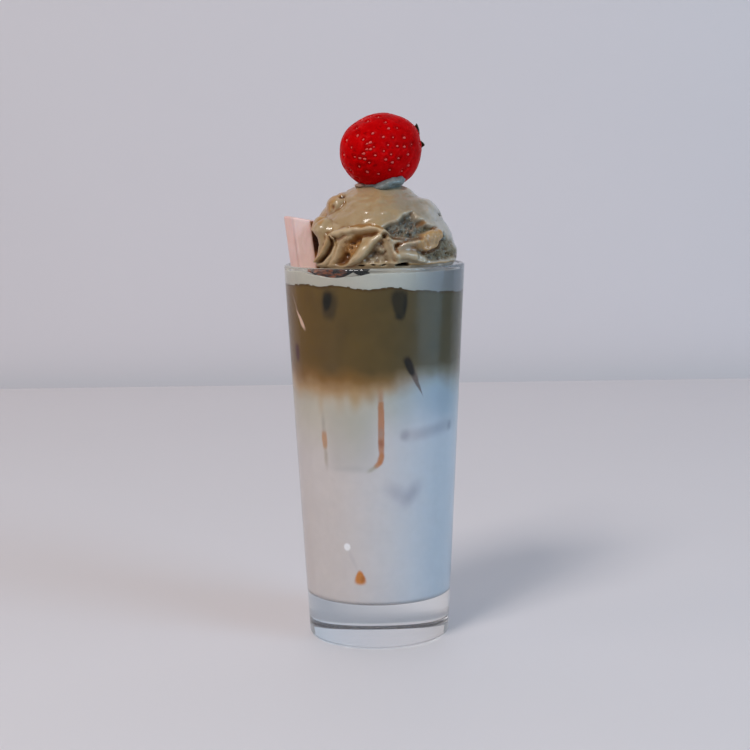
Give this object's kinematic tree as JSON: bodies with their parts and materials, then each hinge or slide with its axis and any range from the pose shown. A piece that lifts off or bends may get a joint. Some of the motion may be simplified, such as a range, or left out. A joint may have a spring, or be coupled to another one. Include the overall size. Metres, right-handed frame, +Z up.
{
  "type": "glass of strawberry matcha latte",
  "caption": "Tall tapered glass of iced latte in milk, matcha and cream layers, topped with a melting ice cream scoop, a wafer stick and a strawberry.",
  "frame": {"origin": "centre of the glass's underside, on the surface that it stands on", "axes": "+Z up, -Y towards the side the picture shows, +X to the right seen from there"},
  "size_m": [0.0714, 0.0714, 0.2093],
  "materials": {
    "clear_glass": "polished",
    "milk": "smooth liquid",
    "matcha": "smooth liquid",
    "cream": "soft satin",
    "ice_cream": "melting, half gloss",
    "strawberry": "moist gloss with seeds",
    "leaf": "matt leaf",
    "pink_coating": "dull coating"
  },
  "bodies": {
    "root": {"glass": "clear_glass", "milk_layer": "milk", "matcha_layer": "matcha", "cream_layer": "cream", "ice_cream": "ice_cream", "cream_dab": "cream", "strawberry": "strawberry", "calyx": "leaf", "wafer_stick": "pink_coating"}
  },
  "joints": []
}
